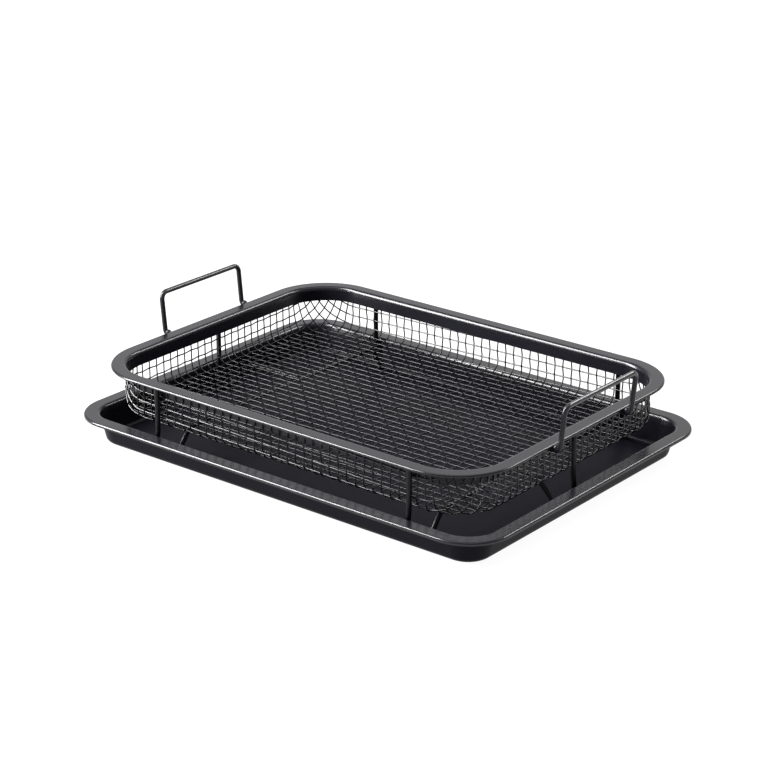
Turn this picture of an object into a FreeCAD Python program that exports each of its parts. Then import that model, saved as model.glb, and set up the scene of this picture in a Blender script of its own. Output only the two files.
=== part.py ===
import FreeCAD, Part
import math
import os

# Crisper tray: a shallow pressed baking tray with a wire mesh basket standing in it.
# All sizes in millimetres. X runs along the length, Y across the width and Z upwards.
# The origin is on the surface the tray stands on, below the middle of the tray.

# Baking tray
tray_length = 400.0
tray_width = 298.0
tray_depth = 24.0
tray_sheet = 0.8
tray_corner_radius = 35.5
tray_flange_width = 12.5
tray_wall_draft = 5.4
tray_lip_depth = 2.5
tray_lip_radius = 1.6
tray_flange_bend = 3.0
tray_floor_bend = 4.2
tray_floor_overlap = 8.0

# Sheet rim of the basket, set back from the edge of the tray
rim_end_setback = 13.75
rim_side_setback = 9.35
rim_sheet = 0.7
rim_corner_radius = 50.7
rim_flange_width = 12.3
rim_wall_depth = 12.0
rim_lip_depth = 1.8
rim_lip_radius = 1.5
rim_flange_bend = 3.0

# Mesh tub hung inside the rim: a thin web with long narrow gaps, and ridges on its bars
mesh_wire = 0.9
mesh_web = 0.5
mesh_bar_width = 2.4
floor_gap_columns = 3
floor_gap_rows = 22
wall_gap_rows = 3
end_wall_gap_columns = 2
mesh_depth = 37.8
mesh_floor_bend = 9.0
mesh_floor_overlap = 12.0
mesh_top_drop = 3.3
mesh_hem = 9.0
mesh_foot_band = 3.5

# Thick support wires that end in U-shaped feet
support_wire = 4.0
foot_height = 26.0
foot_width = 12.0
foot_wall_distance = 3.8
leg_flare = 1.0
leg_knee_drop = 6.5
leg_knee_bend = 9.0
prong_bend = 6.0
cross_leg_end_distance = {"left": 70.25, "right": 59.75}
cross_prong_reach = 17.5
end_leg_offset = 5.0
end_prong_reach = 21.5
end_foot_width = 15.0

# Carrying handles
handle_wire = 4.0
handle_span = 91.0
handle_rise = 32.3
handle_shift_back = 3.0
handle_stand_off = 5.9
handle_lean = 0.095
handle_corner_bend = 5.5
handle_elbow_bend = 5.0
handle_tail_inset = 9.4
weld_bead_radius = 2.5

# Clearances between pieces that meet
weld_gap = 0.05
stand_gap = 0.05
wire_end_gap = 0.2

# Sizes, levels and places that follow from the sizes above
rim_length = tray_length - 2 * rim_end_setback
rim_width = tray_width - 2 * rim_side_setback
mesh_thickness = 2 * mesh_wire
mesh_inset = rim_flange_width - rim_sheet - mesh_thickness
mesh_bottom = tray_sheet + foot_height
rim_top = mesh_bottom + mesh_depth
foot_z = tray_sheet + stand_gap + support_wire / 2
run_z = mesh_bottom - weld_gap - support_wire / 2
leg_inset = mesh_inset - weld_gap - support_wire / 2
leg_top_z = rim_top - rim_sheet - wire_end_gap
cross_leg_x = {
    "left": cross_leg_end_distance["left"] - rim_length / 2,
    "right": rim_length / 2 - cross_leg_end_distance["right"],
}
foot_inset_from_tray = tray_flange_width + tray_wall_draft + foot_wall_distance


def vector(x, y, z):
    return FreeCAD.Vector(x, y, z)


# A path of straight runs joined by tangent arcs, one radius for each inner point
def rounded_path(points, radii):
    edges = []
    start = points[0]
    for i in range(1, len(points) - 1):
        corner = points[i]
        back = (points[i - 1] - corner).normalize()
        ahead = (points[i + 1] - corner).normalize()
        half_angle = back.getAngle(ahead) / 2
        tangent = radii[i - 1] / math.tan(half_angle)
        bisector = (back + ahead).normalize()
        arc_middle = corner + bisector * (radii[i - 1] / math.sin(half_angle) - radii[i - 1])
        arc_start = corner + back * tangent
        arc_end = corner + ahead * tangent
        if start.distanceToPoint(arc_start) > 1e-6:
            edges.append(Part.LineSegment(start, arc_start).toShape())
        edges.append(Part.Arc(arc_start, arc_middle, arc_end).toShape())
        start = arc_end
    edges.append(Part.LineSegment(start, points[-1]).toShape())
    return edges


# A flat face between two paths that start and end side by side
def band_face(edges_a, edges_b):
    ends = []
    for index in (0, -1):
        a = edges_a[index].Vertexes[index].Point
        b = edges_b[index].Vertexes[index].Point
        ends.append(Part.LineSegment(a, b).toShape())
    wire = Part.Wire(Part.__sortEdges__(edges_a + edges_b + ends))
    return Part.Face(wire)


# Section of a folded sheet: the corners of its upper side, from the outer lip inwards
def sheet_section(corners, radii, thickness):
    directions = []
    for first, second in zip(corners, corners[1:]):
        directions.append((second - first).normalize())
    below = []
    for i, corner in enumerate(corners):
        before = directions[max(i - 1, 0)]
        after = directions[min(i, len(directions) - 1)]
        side = vector(before.z + after.z, 0, -before.x - after.x).normalize()
        reach = thickness / side.dot(vector(before.z, 0, -before.x))
        below.append(corner + side * reach)
    inner_radii = []
    for i, radius in enumerate(radii):
        turn = directions[i].z * directions[i + 1].x - directions[i].x * directions[i + 1].z
        inner_radii.append(radius - math.copysign(thickness, turn))
    return band_face(rounded_path(corners, radii), rounded_path(below, inner_radii))


# Carries a section once round a rounded rectangle. The section is drawn with x as the
# distance in from the outer edge and z as the height.
def carry_round(section, length, width, radius):
    pieces = []
    for turn in range(4):
        reach = length / 2 if turn % 2 == 0 else width / 2
        side = width - 2 * radius if turn % 2 == 0 else length - 2 * radius
        placed = section.copy()
        placed = placed.mirror(vector(0, 0, 0), vector(1, 0, 0))
        placed.translate(vector(reach, -side / 2, 0))
        straight = placed.extrude(vector(0, side, 0))
        placed.translate(vector(0, side, 0))
        corner = placed.revolve(vector(reach - radius, side / 2, 0), vector(0, 0, 1), 90)
        for piece in (straight, corner):
            piece.rotate(vector(0, 0, 0), vector(0, 0, 1), 90 * turn)
            pieces.append(piece)
    return pieces[0].multiFuse(pieces[1:]).removeSplitter()


# A flat plate with the outline of a rounded rectangle
def rounded_plate(length, width, radius, low, high):
    x = length / 2
    y = width / 2
    corners = [vector(x, 0, low), vector(x, y, low), vector(-x, y, low)]
    corners += [vector(-x, -y, low), vector(x, -y, low), vector(x, 0, low)]
    outline = Part.Wire(rounded_path(corners, [radius] * 4))
    return Part.Face(outline).extrude(vector(0, 0, high - low))


# A round wire bent along a path of straight runs and arcs
def bent_wire(points, radii, diameter):
    path = Part.Wire(rounded_path(points, radii))
    direction = (points[1] - points[0]).normalize()
    section = Part.Wire(Part.Circle(points[0], direction, diameter / 2).toShape())
    return path.makePipeShell([section], True, False)


# Pressed in one piece: rolled lip, flat flange, leaning wall, rounded floor edge, floor
def make_baking_tray():
    floor_edge = tray_flange_width + tray_wall_draft
    plate_inset = floor_edge + tray_floor_overlap
    corners = [
        vector(0, 0, tray_depth - tray_lip_depth),
        vector(0, 0, tray_depth),
        vector(tray_flange_width, 0, tray_depth),
        vector(floor_edge, 0, tray_sheet),
        vector(plate_inset, 0, tray_sheet),
    ]
    radii = [tray_lip_radius, tray_flange_bend, tray_floor_bend]
    section = sheet_section(corners, radii, tray_sheet)
    border = carry_round(section, tray_length, tray_width, tray_corner_radius)
    plate = rounded_plate(
        tray_length - 2 * plate_inset,
        tray_width - 2 * plate_inset,
        tray_corner_radius - plate_inset,
        0,
        tray_sheet,
    )
    return border.fuse(plate).removeSplitter()


# Sheet ring that holds the mesh: rolled lip, flat flange and a short wall inside
def make_basket_rim():
    corners = [
        vector(0, 0, rim_top - rim_lip_depth),
        vector(0, 0, rim_top),
        vector(rim_flange_width, 0, rim_top),
        vector(rim_flange_width, 0, rim_top - rim_wall_depth),
    ]
    section = sheet_section(corners, [rim_lip_radius, rim_flange_bend], rim_sheet)
    return carry_round(section, rim_length, rim_width, rim_corner_radius)


# One layer of the mesh tub, between two depths counted inwards from its outer side
def mesh_layer(depth_a, depth_b):
    top = rim_top - mesh_top_drop
    plate_inset = mesh_inset + mesh_floor_bend + mesh_floor_overlap
    paths = []
    for depth in (depth_a, depth_b):
        inset = mesh_inset + depth
        corners = [
            vector(inset, 0, top),
            vector(inset, 0, mesh_bottom + depth),
            vector(plate_inset, 0, mesh_bottom + depth),
        ]
        paths.append(rounded_path(corners, [mesh_floor_bend - depth]))
    border = carry_round(band_face(*paths), rim_length, rim_width, rim_corner_radius)
    plate = rounded_plate(
        rim_length - 2 * plate_inset,
        rim_width - 2 * plate_inset,
        rim_corner_radius - plate_inset,
        mesh_bottom + depth_a,
        mesh_bottom + depth_b,
    )
    return border.fuse(plate).removeSplitter()


# Starts and ends of a row of gaps between two places, with a bar after each gap but the last
def gap_spans(low, high, count):
    pitch = (high - low + mesh_bar_width) / count
    return [(low + i * pitch, low + (i + 1) * pitch - mesh_bar_width) for i in range(count)]


# Middles of the bars between a row of gaps
def bar_middles(spans):
    return [end + mesh_bar_width / 2 for start, end in spans[:-1]]


# Gaps along a straight wall, ending half a bar before the corners
def wall_spans(spans, length):
    reach = length / 2 - rim_corner_radius - mesh_bar_width / 2
    return [(max(start, -reach), min(end, reach)) for start, end in spans]


# A block cut square, given by its lowest and highest corner
def block(low, high):
    box = Part.makeBox(high.x - low.x, high.y - low.y, high.z - low.z)
    box.translate(low)
    return box


# Gaps in the floor, rounded where the floor has its corners
def floor_gaps(columns, rows):
    top = mesh_bottom + mesh_thickness
    blocks = []
    for x_low, x_high in columns:
        for y_low, y_high in rows:
            blocks.append(block(vector(x_low, y_low, mesh_bottom), vector(x_high, y_high, top)))
    inset = mesh_inset + mesh_floor_bend
    floor = rounded_plate(
        rim_length - 2 * inset, rim_width - 2 * inset, rim_corner_radius - inset, mesh_bottom, top
    )
    return floor.common(Part.makeCompound(blocks)).Solids


# One row of gaps right round the walls: the two long ones, the two ends and the corners
def wall_row(columns, end_columns, low, high):
    inner = mesh_inset + mesh_floor_bend
    gaps = []
    for spans, half_span, angle in ((columns, rim_width / 2, 0), (end_columns, rim_length / 2, 90)):
        for start, end in spans:
            for side in (-1, 1):
                wall = sorted((side * half_span, side * (half_span - inner)))
                gap = block(vector(start, wall[0], low), vector(end, wall[1], high))
                gap.rotate(vector(0, 0, 0), vector(0, 0, 1), angle)
                gaps.append(gap)

    outside = rim_corner_radius - inner
    section = Part.makePlane(high - low, inner, vector(outside, 0, low), vector(0, -1, 0))
    bar_angle = math.degrees(mesh_bar_width / 2 / (rim_corner_radius - mesh_inset))
    sweep = section.revolve(vector(0, 0, 0), vector(0, 0, 1), 90 - 2 * bar_angle)
    for quarter in range(4):
        gap = sweep.copy()
        gap.rotate(vector(0, 0, 0), vector(0, 0, 1), bar_angle + 90 * quarter)
        x = (rim_length / 2 - rim_corner_radius) * (1 if quarter in (0, 3) else -1)
        y = (rim_width / 2 - rim_corner_radius) * (1 if quarter in (0, 1) else -1)
        gap.translate(vector(x, y, 0))
        gaps.append(gap)
    return gaps


# Woven mesh drawn coarsely: the crosswise bars have their ridge inside, the lengthwise
# bars outside, as the wires pass over and under each other
def make_basket_mesh():
    web_start = mesh_thickness / 2 - mesh_web / 2
    web_end = mesh_thickness / 2 + mesh_web / 2
    floor_x = rim_length / 2 - mesh_inset - mesh_floor_bend
    floor_y = rim_width / 2 - mesh_inset - mesh_floor_bend
    columns = gap_spans(-floor_x, floor_x, floor_gap_columns)
    rows = gap_spans(-floor_y, floor_y, floor_gap_rows)
    long_wall = wall_spans(columns, rim_length)
    end_wall = wall_spans(gap_spans(-floor_y, floor_y, end_wall_gap_columns), rim_width)
    wall_low = mesh_bottom + mesh_foot_band
    wall_high = rim_top - mesh_top_drop - mesh_hem
    wall_rows = gap_spans(wall_low, wall_high, wall_gap_rows)
    gaps = floor_gaps(columns, rows)
    for low, high in wall_rows:
        gaps += wall_row(long_wall, end_wall, low, high)
    web = mesh_layer(web_start, web_end).cut(gaps)

    x = rim_length / 2
    y = rim_width / 2
    wire = mesh_wire / 2
    crosswise = []
    for bar in bar_middles(columns):
        crosswise.append(block(vector(bar - wire, -y, mesh_bottom), vector(bar + wire, y, rim_top)))
    lengthwise = []
    for bar in bar_middles(rows):
        low = vector(-floor_x, bar - wire, mesh_bottom)
        lengthwise.append(block(low, vector(floor_x, bar + wire, mesh_bottom + mesh_thickness)))
    for row_z in bar_middles(wall_rows) + [wall_high + mesh_bar_width / 2]:
        lengthwise.append(block(vector(-x, -y, row_z - wire), vector(x, y, row_z + wire)))
    inner_ridges = mesh_layer(web_end, mesh_thickness).common(Part.makeCompound(crosswise)).cut(gaps)
    outer_ridges = mesh_layer(0, web_start).common(Part.makeCompound(lengthwise)).cut(gaps)
    return web.multiFuse(inner_ridges.Solids + outer_ridges.Solids).removeSplitter()


# Corners of one support foot, from the rim down, round the U and up to the mesh floor.
# The wall is at +X and the foot steps towards +Y by its width.
def foot_corners(half_rim, half_tray, width, prong_reach):
    wall_x = half_rim - leg_inset
    foot_x = half_tray - foot_inset_from_tray
    knee_z = mesh_bottom - leg_knee_drop
    return [
        vector(wall_x, 0, leg_top_z),
        vector(wall_x, 0, mesh_bottom),
        vector(wall_x + leg_flare, 0, knee_z),
        vector(foot_x, 0, foot_z),
        vector(foot_x, width, foot_z),
        vector(foot_x - prong_reach, width, run_z),
    ]


def foot_bends(width):
    turn = width / 2 - weld_gap
    return [leg_knee_bend, leg_knee_bend, turn, turn, prong_bend]


# Turns foot corners about the vertical axis and moves them to their place
def place_corners(corners, angle, shift):
    turned = []
    for corner in corners:
        point = FreeCAD.Rotation(vector(0, 0, 1), angle).multVec(corner)
        turned.append(point + shift)
    return turned


# One wire from the rim in front, under the mesh floor, to the rim at the back
def make_cross_support(leg_x):
    foot = foot_corners(rim_width / 2, tray_width / 2, foot_width, cross_prong_reach)
    front = place_corners(foot, -90, vector(leg_x, 0, 0))
    back = [vector(point.x, -point.y, point.z) for point in front]
    bends = foot_bends(foot_width)
    return bent_wire(front + back[::-1], bends + bends[::-1], support_wire)


# One wire from the end rim, under the mesh floor, to the side of a cross support
def make_end_support(side):
    foot = foot_corners(rim_length / 2, tray_length / 2, -end_foot_width, end_prong_reach)
    cross_run_x = cross_leg_x["right" if side > 0 else "left"] + foot_width
    stop = vector(abs(cross_run_x + side * (support_wire / 2 + weld_gap)), -end_foot_width, run_z)
    corners = place_corners(foot + [stop], 0, vector(0, -end_leg_offset, 0))
    wire = bent_wire(corners, foot_bends(end_foot_width), support_wire)
    if side < 0:
        wire.rotate(vector(0, 0, 0), vector(0, 0, 1), 180)
    return wire


# Bail handle: two legs that turn in under the rim, each with a weld bead at its elbow
def make_handle(side):
    edge = rim_length / 2
    tail_z = rim_top - rim_lip_depth - weld_gap - handle_wire / 2
    grip_z = rim_top + handle_rise - handle_wire / 2
    elbow_x = edge + handle_stand_off - handle_lean * (rim_top - tail_z)
    grip_x = edge + handle_stand_off + handle_lean * (grip_z - rim_top)
    y = handle_span / 2
    corners = [
        vector(edge - handle_tail_inset, -y, tail_z),
        vector(elbow_x, -y, tail_z),
        vector(grip_x, -y, grip_z),
        vector(grip_x, y, grip_z),
        vector(elbow_x, y, tail_z),
        vector(edge - handle_tail_inset, y, tail_z),
    ]
    bends = [handle_elbow_bend, handle_corner_bend, handle_corner_bend, handle_elbow_bend]
    handle = bent_wire(corners, bends, handle_wire)
    for bead_y in (-y, y):
        centre = vector(edge + weld_bead_radius + weld_gap, bead_y, rim_top - rim_lip_depth)
        handle = handle.fuse(Part.makeSphere(weld_bead_radius, centre))
    if side < 0:
        handle.rotate(vector(0, 0, 0), vector(0, 0, 1), 180)
    handle.translate(vector(0, handle_shift_back, 0))
    return handle.removeSplitter()


def build_pieces():
    pieces = {
        "baking_tray": make_baking_tray(),
        "basket_rim": make_basket_rim(),
        "basket_mesh": make_basket_mesh(),
        "handle_left": make_handle(-1),
        "handle_right": make_handle(1),
        "end_support_left": make_end_support(-1),
        "end_support_right": make_end_support(1),
    }
    for name, leg_x in cross_leg_x.items():
        pieces["cross_support_" + name] = make_cross_support(leg_x)
    return pieces


def main():
    os.makedirs("parts", exist_ok=True)
    for name, shape in build_pieces().items():
        shape.exportStep(os.path.join("parts", name + ".step"))
        box = shape.BoundBox
        print(
            name, "solids", len(shape.Solids), "faces", len(shape.Faces), "valid", shape.isValid(),
            "volume", round(shape.Volume, 1), "z", round(box.ZMin, 2), round(box.ZMax, 2),
        )


main()
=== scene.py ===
import bpy, math
from mathutils import Matrix, Vector


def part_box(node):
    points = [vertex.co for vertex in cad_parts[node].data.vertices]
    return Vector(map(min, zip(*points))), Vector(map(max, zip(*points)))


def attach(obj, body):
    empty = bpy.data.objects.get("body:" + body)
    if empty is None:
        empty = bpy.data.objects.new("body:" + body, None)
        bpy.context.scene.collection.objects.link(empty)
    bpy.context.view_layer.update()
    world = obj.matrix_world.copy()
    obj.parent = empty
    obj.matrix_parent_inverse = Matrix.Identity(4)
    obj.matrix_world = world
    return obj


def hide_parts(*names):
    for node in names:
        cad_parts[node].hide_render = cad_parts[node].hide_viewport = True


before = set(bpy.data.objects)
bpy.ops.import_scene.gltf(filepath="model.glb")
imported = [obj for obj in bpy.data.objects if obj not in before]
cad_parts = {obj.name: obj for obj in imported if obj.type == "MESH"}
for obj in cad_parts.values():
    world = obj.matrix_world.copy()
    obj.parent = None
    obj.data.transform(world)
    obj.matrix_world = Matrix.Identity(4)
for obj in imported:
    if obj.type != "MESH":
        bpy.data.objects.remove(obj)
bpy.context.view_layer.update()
print("frame loaded:", len(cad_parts), "nodes")


# A socket that can be written in sums, in shader trees and in geometry trees alike
class Value:
    def __init__(self, graph, socket):
        self.graph = graph
        self.socket = socket

    def math(self, operation, *others):
        return self.graph.add("ShaderNodeMath", {"operation": operation}, [self, *others])

    def __add__(self, other): return self.math("ADD", other)
    def __radd__(self, other): return self.math("ADD", other)
    def __sub__(self, other): return self.math("SUBTRACT", other)
    def __rsub__(self, other):
        return self.graph.add("ShaderNodeMath", {"operation": "SUBTRACT"}, [other, self])

    def __mul__(self, other): return self.math("MULTIPLY", other)
    def __rmul__(self, other): return self.math("MULTIPLY", other)
    def __truediv__(self, other): return self.math("DIVIDE", other)
    def __neg__(self): return self.math("MULTIPLY", -1.0)
    def clamp(self, low, high): return self.math("MAXIMUM", low).math("MINIMUM", high)


# A node tree with one way to add any node: settings first, then its sockets
class Graph:
    def __init__(self, tree):
        self.tree = tree

    def add(self, kind, settings=None, inputs=None, output=0):
        node = self.tree.nodes.new(kind)
        for name, setting in (settings or {}).items():
            if name == "stops":
                self.setStops(node.color_ramp, setting)
            else:
                setattr(node, name, setting)
        pairs = inputs.items() if isinstance(inputs, dict) else enumerate(inputs or [])
        for key, item in pairs:
            if isinstance(item, Value):
                self.tree.links.new(item.socket, node.inputs[key])
            else:
                node.inputs[key].default_value = item
        return Value(self, node.outputs[output])

    def setStops(self, ramp, stops):
        while len(ramp.elements) > 1:
            ramp.elements.remove(ramp.elements[-1])
        for index, (place, grey) in enumerate(stops):
            element = ramp.elements[0] if index == 0 else ramp.elements.new(place)
            element.position = place
            element.color = (grey, grey, grey, 1.0)

    def split(self, vector):
        parts = self.add("ShaderNodeSeparateXYZ", None, [vector]).socket.node.outputs
        return [Value(self, part) for part in parts]

    def noise(self, vector, scale, detail):
        sizes = {"Vector": vector, "Scale": scale, "Detail": detail}
        return self.add("ShaderNodeTexNoise", None, sizes)

    def ramp(self, value, stops):
        return self.add("ShaderNodeValToRGB", {"stops": stops}, {"Fac": value})

    # The Mix node names its sockets alike for each kind, so a colour mix goes by number
    def mixColour(self, factor, first, second):
        factorSocket, firstSocket, secondSocket, result = 0, 6, 7, 2
        inputs = {factorSocket: factor, firstSocket: first, secondSocket: second}
        return self.add("ShaderNodeMix", {"data_type": "RGBA"}, inputs, result)

    # Links the last value to the node that ends the tree
    def close(self, kind, key, value):
        self.tree.links.new(value.socket, self.tree.nodes.new(kind).inputs[key])


# The fine uneven pattern that all the coatings share
coatingPattern = {
    "cloudScale": 14.0,                # slow change of tone over a hand's width
    "cloudDetail": 3.0,
    "speckScale": 0.5,                 # as a share of the coating's own grain scale
    "fineDetail": 2.0,
    "toneShares": (0.7, 0.3),          # of cloud and speck
    "toneStops": [(0.35, 0.0), (0.65, 1.0)],
    "unevenShares": (0.6, 0.4),        # of cloud and grain
    "bumpDistance": 0.0001,
}

# Baked non-stick coating, nearly black, with a fine orange-peel grain. Below the top of the
# node that a coating names, the coating is shiny down to the nearer depth and dull from the
# farther depth on. The dull part is a darker, less reflective copy of the same coating: painted
# shade on the lower walls, the floors, the floor of the mesh and the handle legs, with a
# painted sheen kept on the flange, the lip and the grip.
coatings = {
    "trayCoating": {
        "dark": (0.0037, 0.0036, 0.0060, 1.0),
        "light": (0.0056, 0.0055, 0.0088, 1.0),
        "roughness": (0.22, 0.28),
        "specular": 0.46,
        "grainScale": 900.0,
        "grainBump": 0.02,
        "paintedShadeNode": "baking_tray",
        "shadedRoughness": (0.34, 0.42),
        "shadedSpecular": 0.05,
        "shadedFrom": 0.0065,
        "shadedTo": 0.0035,
    },
    "rimCoating": {
        "dark": (0.0037, 0.0036, 0.0060, 1.0),
        "light": (0.0056, 0.0055, 0.0088, 1.0),
        "roughness": (0.22, 0.28),
        "specular": 0.43,
        "grainScale": 900.0,
        "grainBump": 0.02,
        "paintedShadeNode": "basket_rim",
        "shadedRoughness": (0.30, 0.38),
        "shadedSpecular": 0.20,
        "shadedFrom": 0.0065,
        "shadedTo": 0.0035,
    },
    "meshLengthCoating": {
        "dark": (0.0023, 0.0022, 0.0034, 1.0),
        "light": (0.0044, 0.0043, 0.0062, 1.0),
        "roughness": (0.20, 0.27),
        "specular": 0.55,
        "grainScale": 1400.0,
        "grainBump": 0.06,
        "paintedShadeNode": "basket_mesh",
        "shadedRoughness": (0.34, 0.42),
        "shadedSpecular": 0.10,
        "shadedFrom": 0.0350,
        "shadedTo": 0.0300,
    },
    # The cross wires are the same wire as the lengthwise ones; their darker, less reflective copy
    # of the coating is painted shade
    "meshCrossShadedCoating": {
        "dark": (0.0020, 0.0019, 0.0030, 1.0),
        "light": (0.0038, 0.0037, 0.0054, 1.0),
        "roughness": (0.22, 0.30),
        "specular": 0.26,
        "grainScale": 1400.0,
        "grainBump": 0.06,
        "paintedShadeNode": "basket_mesh",
        "shadedRoughness": (0.34, 0.42),
        "shadedSpecular": 0.10,
        "shadedFrom": 0.0350,
        "shadedTo": 0.0300,
    },
    # The supports are the same black coated wire as the handles; their darker, less reflective
    # copy of the coating is painted shade
    "supportShadedCoating": {
        "dark": (0.0020, 0.0020, 0.0028, 1.0),
        "light": (0.0040, 0.0040, 0.0050, 1.0),
        "roughness": (0.30, 0.38),
        "specular": 0.20,
        "grainScale": 1100.0,
        "grainBump": 0.08,
    },
    # The handles are the same black coated wire as the supports; their lighter, glossier copy of
    # the coating is painted light
    "handleCoating": {
        "dark": (0.0060, 0.0060, 0.0085, 1.0),
        "light": (0.0095, 0.0095, 0.0130, 1.0),
        "roughness": (0.25, 0.32),
        "specular": 0.60,
        "grainScale": 1100.0,
        "grainBump": 0.06,
        "paintedShadeNode": "handle_left",
        "shadedRoughness": (0.24, 0.31),
        "shadedSpecular": 0.26,
        "shadedFrom": 0.0065,
        "shadedTo": 0.0030,
    },
}


def makeCoating(name, finish):
    material = bpy.data.materials.new(name)
    material.use_nodes = True
    material.node_tree.nodes.clear()
    graph = Graph(material.node_tree)
    place = graph.add("ShaderNodeTexCoord", output="Object")

    pattern = coatingPattern
    fine = pattern["fineDetail"]
    cloud = graph.noise(place, pattern["cloudScale"], pattern["cloudDetail"])
    speck = graph.noise(place, finish["grainScale"] * pattern["speckScale"], fine)
    grain = graph.noise(place, finish["grainScale"], fine)
    cloudShare, speckShare = pattern["toneShares"]
    tone = graph.ramp(cloud * cloudShare + speck * speckShare, pattern["toneStops"])
    colour = graph.mixColour(tone, finish["dark"], finish["light"])
    cloudShare, grainShare = pattern["unevenShares"]
    uneven = cloudShare * cloud + grainShare * grain
    bump = graph.add("ShaderNodeBump", None, {
        "Strength": finish["grainBump"],
        "Distance": pattern["bumpDistance"],
        "Height": grain,
    })

    def makeShader(roughness, specular):
        smoothest, roughest = roughness
        return graph.add("ShaderNodeBsdfPrincipled", None, {
            "Base Color": colour,
            "Roughness": smoothest + (roughest - smoothest) * uneven,
            "Normal": bump,
            "Specular IOR Level": specular,
        })

    surface = makeShader(finish["roughness"], finish["specular"])
    # Painted shade: lower down, the coating turns into its darker, less reflective copy
    if "paintedShadeNode" in finish:
        shadedCopy = makeShader(finish["shadedRoughness"], finish["shadedSpecular"])
        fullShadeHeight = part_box(finish["paintedShadeNode"])[1].z - finish["shadedFrom"]
        height = graph.split(place)[2]
        litShare = ((height - fullShadeHeight) / (finish["shadedFrom"] - finish["shadedTo"])).clamp(0.0, 1.0)
        surface = graph.add("ShaderNodeMixShader", None, [litShare, shadedCopy, surface])
    graph.close("ShaderNodeOutputMaterial", "Surface", surface)
    return material


def dress(name, material):
    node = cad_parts[name]
    node.data.materials.clear()
    node.data.materials.append(material)


materials = {name: makeCoating(name, finish) for name, finish in coatings.items()}
dress("baking_tray", materials["trayCoating"])
dress("basket_rim", materials["rimCoating"])
for side in ("left", "right"):
    dress("cross_support_" + side, materials["supportShadedCoating"])
    dress("end_support_" + side, materials["supportShadedCoating"])
    dress("handle_" + side, materials["handleCoating"])
print("coatings made:", len(materials))


# The mesh sheet is woven flat, then drawn down into a tub. A point of the flat sheet goes
# to the floor, the bend or the wall by its distance past the straight middle of the tub.
meshTub = {
    "wire": 0.00108,
    "pitch": 0.008,
    "crimpLength": 0.00008,            # the lengthwise wires are nearly straight
    "crimpCross": 0.00046,
    "cornerRadius": 0.040,
    "bendRadius": 0.0081,
    "turn": math.radians(1.34),        # the sheet sits a little askew in its rim
    "phaseX": 0.0,
    "phaseY": -0.0024,
    "stepsPerPitch": 4,
    "sides": 8,
    "leastDistance": 0.000001,         # keeps the middle of the floor from a division by nought
}


# Straight wires laid side by side over the flat sheet
def layWires(graph, tub, lengthwise):
    phaseAlong, phaseAcross = tub["phaseX"], tub["phaseY"]
    if not lengthwise:
        phaseAlong, phaseAcross = phaseAcross, phaseAlong
    count = 2 * int(tub["reach"] / tub["pitch"]) + 1
    points = 2 * int(tub["reach"] / tub["step"]) + 1
    start = phaseAlong - tub["step"] * (points - 1) / 2
    first = phaseAcross - tub["pitch"] * (count - 1) / 2

    def flat(along, across):
        return (along, across, 0.0) if lengthwise else (across, along, 0.0)

    def row(number, begin, offset):
        inputs = {"Count": number, "Start Location": begin, "Offset": offset}
        return graph.add("GeometryNodeMeshLine", {"mode": "OFFSET"}, inputs)

    places = row(count, flat(start, first), flat(0.0, tub["pitch"]))
    line = row(points, flat(0.0, 0.0), flat(tub["step"], 0.0))
    wire = graph.add("GeometryNodeMeshToCurve", None, {"Mesh": line})
    copies = graph.add("GeometryNodeInstanceOnPoints", None, {"Points": places, "Instance": wire})
    return graph.add("GeometryNodeRealizeInstances", None, {"Geometry": copies})


# How far a wire weaves out of its sheet, from the two families of crossings
def weaveLift(given, tub, x, y):
    waveX = ((x - tub["phaseX"]) / given["Pitch"] * math.pi).math("COSINE")
    waveY = ((y - tub["phaseY"]) / given["Pitch"] * math.pi).math("COSINE")
    return waveX * waveY * given["Crimp"]


# Takes a point of the flat sheet to its place in the tub
def drawDown(graph, given, x, y, lift):
    cosTurn = given["Sheet Turn"].math("COSINE")
    sinTurn = given["Sheet Turn"].math("SINE")
    u = x * cosTurn - y * sinTurn
    v = x * sinTurn + y * cosTurn

    # the distance past the straight middle, and its direction
    baseU = u.clamp(-given["Straight Half X"], given["Straight Half X"])
    baseV = v.clamp(-given["Straight Half Y"], given["Straight Half Y"])
    pastU = u - baseU
    pastV = v - baseV
    distance = (pastU * pastU + pastV * pastV).math("SQRT")
    safe = distance.math("MAXIMUM", given["Least Distance"])

    # floor, bend and wall
    quarterTurn = math.pi / 2
    floorRadius = given["Corner Radius"] - given["Bend Radius"]
    bendLength = given["Bend Radius"] * quarterTurn
    wallHeight = given["Top Height"] - given["Floor Height"] - given["Bend Radius"]
    topDistance = floorRadius + bendLength + wallHeight
    inside = distance.math("MINIMUM", topDistance)
    pastFloor = (inside - floorRadius).math("MAXIMUM", 0.0)
    angle = (pastFloor / given["Bend Radius"]).math("MINIMUM", quarterTurn)
    sinAngle = angle.math("SINE")
    cosAngle = angle.math("COSINE")
    upWall = (pastFloor - bendLength).math("MAXIMUM", 0.0)
    radius = inside.math("MINIMUM", floorRadius) + (given["Bend Radius"] + lift) * sinAngle
    height = given["Floor Height"] + given["Bend Radius"] * (1.0 - cosAngle)
    height = height + upWall - lift * cosAngle
    across = [baseU + pastU / safe * radius, baseV + pastV / safe * radius]
    drawn = graph.add("ShaderNodeCombineXYZ", None, [*across, height])
    return drawn, distance, topDistance


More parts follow.
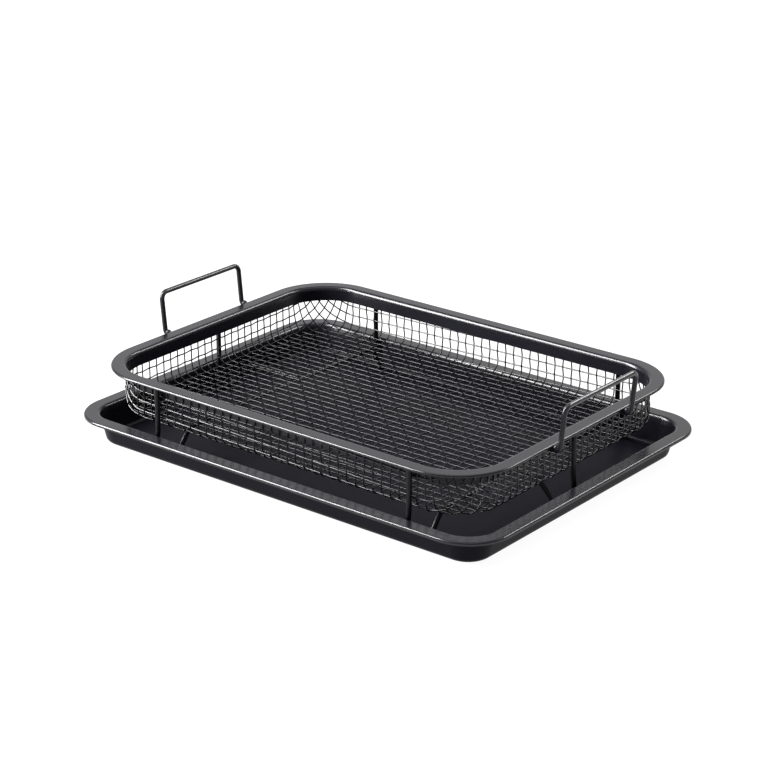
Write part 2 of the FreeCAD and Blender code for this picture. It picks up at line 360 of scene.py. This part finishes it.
def meshTree(name, crimp, lengthwise, coating, tub):
    tree = bpy.data.node_groups.new(name, "GeometryNodeTree")
    panel = tree.interface
    panel.new_socket("Geometry", in_out="OUTPUT", socket_type="NodeSocketGeometry")
    sizes = {
        "Pitch": tub["pitch"],
        "Wire Radius": tub["wire"] / 2,
        "Crimp": crimp,
        "Corner Radius": tub["cornerRadius"],
        "Bend Radius": tub["bendRadius"],
        "Sheet Turn": tub["turn"],
        "Straight Half X": tub["straightX"],
        "Straight Half Y": tub["straightY"],
        "Floor Height": tub["floor"],
        "Top Height": tub["top"],
        "Least Distance": tub["leastDistance"],
    }
    for label in sizes:
        panel.new_socket(label, in_out="INPUT", socket_type="NodeSocketFloat")
    graph = Graph(tree)
    entry = tree.nodes.new("NodeGroupInput")
    given = {label: Value(graph, entry.outputs[label]) for label in sizes}

    curves = layWires(graph, tub, lengthwise)
    x, y, _ = graph.split(graph.add("GeometryNodeInputPosition"))
    lift = weaveLift(given, tub, x, y)
    drawn, distance, topDistance = drawDown(graph, given, x, y, lift)
    tooFar = graph.add(
        "FunctionNodeCompare", {"data_type": "FLOAT", "operation": "GREATER_THAN"},
        [distance, topDistance + tub["step"]],
    )
    kept = graph.add(
        "GeometryNodeDeleteGeometry", {"domain": "POINT"},
        {"Geometry": curves, "Selection": tooFar},
    )
    shaped = graph.add("GeometryNodeSetPosition", None, {"Geometry": kept, "Position": drawn})
    ring = graph.add(
        "GeometryNodeCurvePrimitiveCircle", {"mode": "RADIUS"},
        {"Resolution": tub["sides"], "Radius": given["Wire Radius"]},
    )
    tube = graph.add(
        "GeometryNodeCurveToMesh", None,
        {"Curve": shaped, "Profile Curve": ring, "Fill Caps": True},
    )
    smooth = graph.add("GeometryNodeSetShadeSmooth", None, {"Geometry": tube})
    solid = graph.add("GeometryNodeRealizeInstances", None, {"Geometry": smooth})
    coated = graph.add(
        "GeometryNodeSetMaterial", None, {"Geometry": solid, "Material": coating}
    )
    graph.close("NodeGroupOutput", "Geometry", coated)
    return tree, sizes


# Runs a geometry tree and keeps its result as a plain mesh piece
def pieceFromTree(name, tree, sizes):
    holder = bpy.data.objects.new(name + "Work", bpy.data.meshes.new(name + "Work"))
    bpy.context.scene.collection.objects.link(holder)
    modifier = holder.modifiers.new("Weave", "NODES")
    modifier.node_group = tree
    for item in tree.interface.items_tree:
        if item.in_out == "INPUT" and item.name in sizes:
            modifier[item.identifier] = sizes[item.name]
    result = holder.evaluated_get(bpy.context.evaluated_depsgraph_get())
    mesh = bpy.data.meshes.new_from_object(result)
    bpy.data.objects.remove(holder)
    piece = bpy.data.objects.new(name, mesh)
    bpy.context.scene.collection.objects.link(piece)
    return piece


def makeMesh():
    low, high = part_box("basket_mesh")
    wire, cornerRadius = meshTub["wire"], meshTub["cornerRadius"]
    tub = {
        **meshTub,
        "step": meshTub["pitch"] / meshTub["stepsPerPitch"],
        "floor": low.z + wire,
        "top": high.z,
        "straightX": high.x - wire - cornerRadius,
        "straightY": high.y - wire - cornerRadius,
        "reach": high.x + high.z - low.z,
    }
    families = (
        ("meshLengthWires", tub["crimpLength"], True, materials["meshLengthCoating"]),
        ("meshCrossWires", -tub["crimpCross"], False, materials["meshCrossShadedCoating"]),
    )
    for name, crimp, lengthwise, coating in families:
        tree, sizes = meshTree(name, crimp, lengthwise, coating, tub)
        piece = pieceFromTree(name, tree, sizes)
        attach(piece, "root")
        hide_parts("basket_mesh")
        print(name, "faces:", len(piece.data.polygons))


makeMesh()


# Plain pale ground that glows a little, in a dark room
stage = {
    "floorSize": 16.0,
    "floorColour": (0.12, 0.12, 0.12, 1.0),
    "floorRoughness": 0.9,
    "floorSpecular": 0.1,
    "floorGlow": (0.95, 0.95, 0.95, 1.0),
    "floorGlowStrength": 1.0,
    "glowFrom": (-0.586, 0.726, 0.360),        # a pale wall low at the back left
    "glowStops": [(0.74, 0.12), (0.93, 0.95)],
    "heightStops": [(0.45, 0.40), (0.80, 0.10)],
}


def makeStage():
    half = stage["floorSize"] / 2
    mesh = bpy.data.meshes.new("ground")
    corners = [(-half, -half, 0), (half, -half, 0), (half, half, 0), (-half, half, 0)]
    mesh.from_pydata(corners, [], [(0, 1, 2, 3)])
    ground = bpy.data.objects.new("ground", mesh)
    bpy.context.scene.collection.objects.link(ground)
    material = bpy.data.materials.new("groundPaint")
    material.use_nodes = True
    inputs = material.node_tree.nodes["Principled BSDF"].inputs
    inputs["Base Color"].default_value = stage["floorColour"]
    inputs["Roughness"].default_value = stage["floorRoughness"]
    inputs["Specular IOR Level"].default_value = stage["floorSpecular"]
    inputs["Emission Color"].default_value = stage["floorGlow"]
    inputs["Emission Strength"].default_value = stage["floorGlowStrength"]
    mesh.materials.append(material)


# A pale glow on one side of the room, and a weaker one all round low down
def makeRoom():
    world = bpy.data.worlds.new("studio")
    world.use_nodes = True
    graph = Graph(world.node_tree)
    toward = graph.add("ShaderNodeTexCoord", output="Generated")
    facing = graph.add(
        "ShaderNodeVectorMath", {"operation": "DOT_PRODUCT"},
        [toward, stage["glowFrom"]], "Value",
    )
    sideGlow = graph.ramp(facing, stage["glowStops"])
    lowGlow = graph.ramp(graph.split(toward)[2], stage["heightStops"])
    glow = sideGlow.math("MAXIMUM", lowGlow)
    sky = world.node_tree.nodes["Background"]
    world.node_tree.links.new(glow.socket, sky.inputs["Color"])
    bpy.context.scene.world = world


# Each softbox: its place, its width and height in metres, and its power in watts
lightTarget = (0.0, 0.0, 0.04)
softboxes = {
    "frontSoftbox": ((-0.84, -0.70, 0.75), (0.36, 1.34), 70.0),    # for the long lips and wires
    "backSoftbox": ((0.45, 1.09, 1.02), (1.1, 0.24), 14.0),        # for the short ones
    "topSoftbox": ((0.1, 0.0, 1.6), (1.7, 1.7), 10.0),
}


def makeLights():
    for name, (place, size, power) in softboxes.items():
        light = bpy.data.lights.new(name, "AREA")
        light.shape = "RECTANGLE"
        light.size, light.size_y = size
        light.energy = power
        lamp = bpy.data.objects.new(name, light)
        lamp.location = place
        aim = Vector(lightTarget) - Vector(place)
        lamp.rotation_euler = aim.to_track_quat("-Z", "Y").to_euler()
        bpy.context.scene.collection.objects.link(lamp)
    bpy.context.scene.view_settings.view_transform = "Standard"


makeStage()
makeRoom()
makeLights()
print("stage and lights made")


# The photograph's view, worked out from the outlines of the two rims
view = {
    "place": (1.04136, -1.30268, 0.70381),
    "target": (-0.013845, 0.018544, 0.026),
    "roll": math.radians(0.122),
    "focalPixels": 2329.09,
    "imagePixels": 767.0,
    "shift": (-0.00406, 0.02696),
    "sensorWidth": 36.0,
    "clip": (0.05, 50.0),
}


def makeCamera():
    data = bpy.data.cameras.new("photoCamera")
    data.sensor_width = view["sensorWidth"]
    data.lens = view["focalPixels"] / view["imagePixels"] * view["sensorWidth"]
    data.shift_x, data.shift_y = view["shift"]
    data.clip_start, data.clip_end = view["clip"]
    camera = bpy.data.objects.new("photoCamera", data)
    look = Vector(view["target"]) - Vector(view["place"])
    aimed = look.to_track_quat("-Z", "Y").to_matrix().to_4x4()
    rolled = aimed @ Matrix.Rotation(view["roll"], 4, "Z")
    camera.matrix_world = Matrix.Translation(view["place"]) @ rolled
    bpy.context.scene.collection.objects.link(camera)
    bpy.context.scene.camera = camera


makeCamera()
